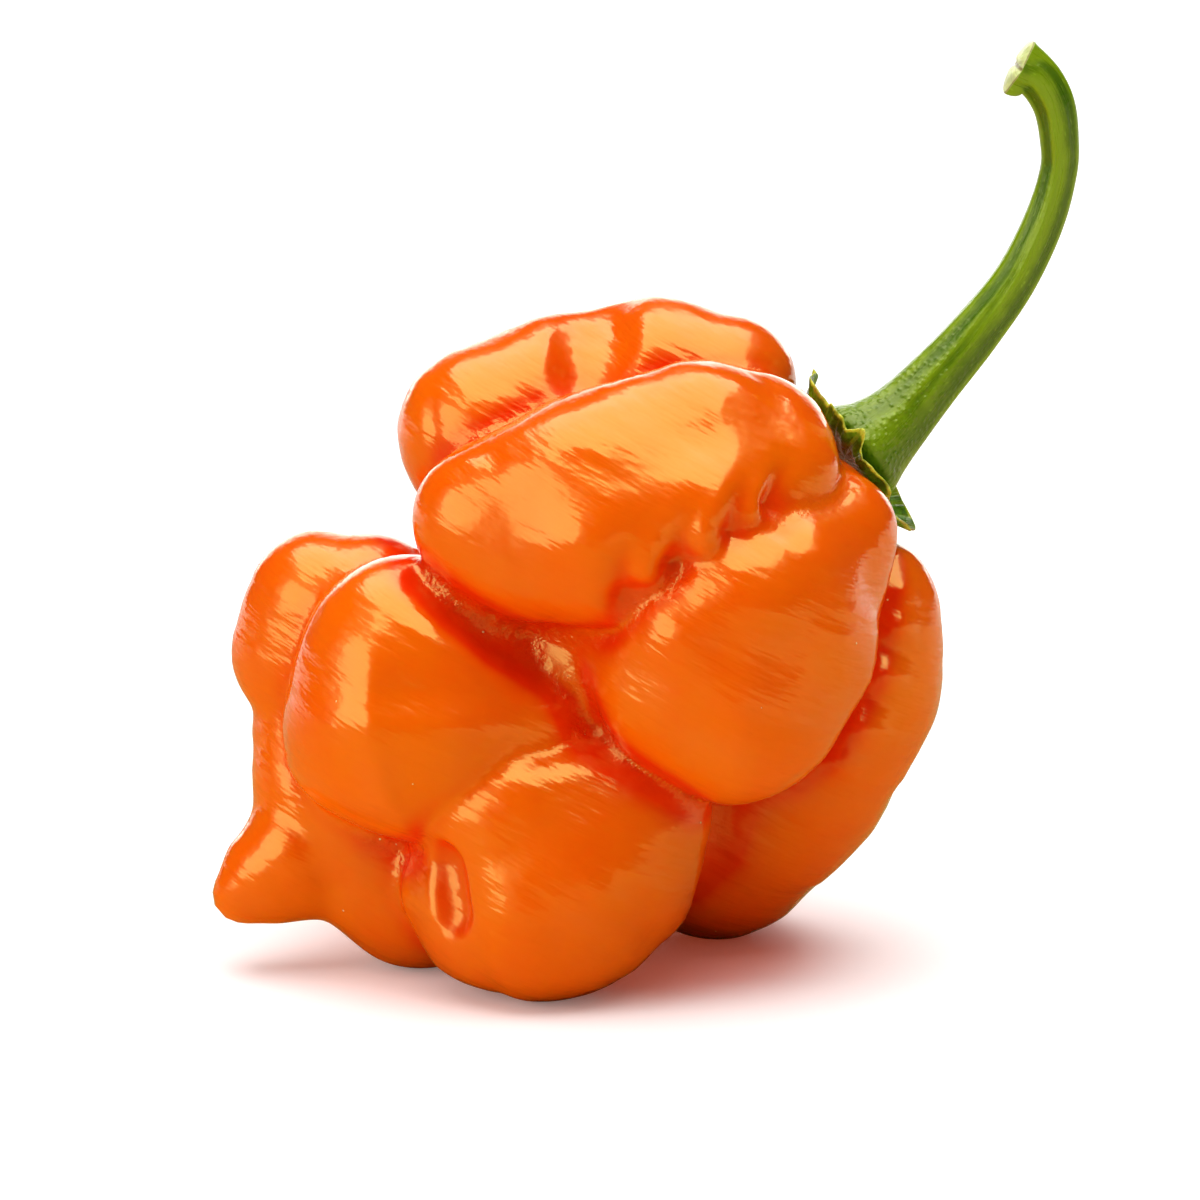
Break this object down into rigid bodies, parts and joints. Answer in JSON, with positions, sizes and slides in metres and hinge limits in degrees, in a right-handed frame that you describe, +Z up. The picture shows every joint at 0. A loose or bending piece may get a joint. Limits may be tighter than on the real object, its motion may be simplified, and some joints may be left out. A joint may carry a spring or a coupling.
{
  "type": "scotch bonnet pepper",
  "caption": "Ripe orange scotch bonnet pepper, as picked: a glossy, deeply lobed and creased pod with a pointed tail, a frilled green calyx and a long curved green stem.",
  "frame": {"origin": "the bottom centre of the whole pepper's box, on the surface that the pepper lies on", "axes": "+Z up, away from the surface that the pepper lies on; +X from the pod's tail towards the stem's side; +Y away from the viewer, towards the back lobes"},
  "size_m": [0.0554, 0.036, 0.0594],
  "materials": {
    "pod_skin": "thin waxy skin, glossy, ripe orange with redder creases",
    "calyx_green": "thin leathery green leaf, satin, with brown and yellow edges",
    "stem_green": "smooth ribbed green stalk, satin, with a pale cut end"
  },
  "bodies": {
    "root": {"pod": "pod_skin", "calyx": "calyx_green", "stem": "stem_green"}
  },
  "joints": []
}
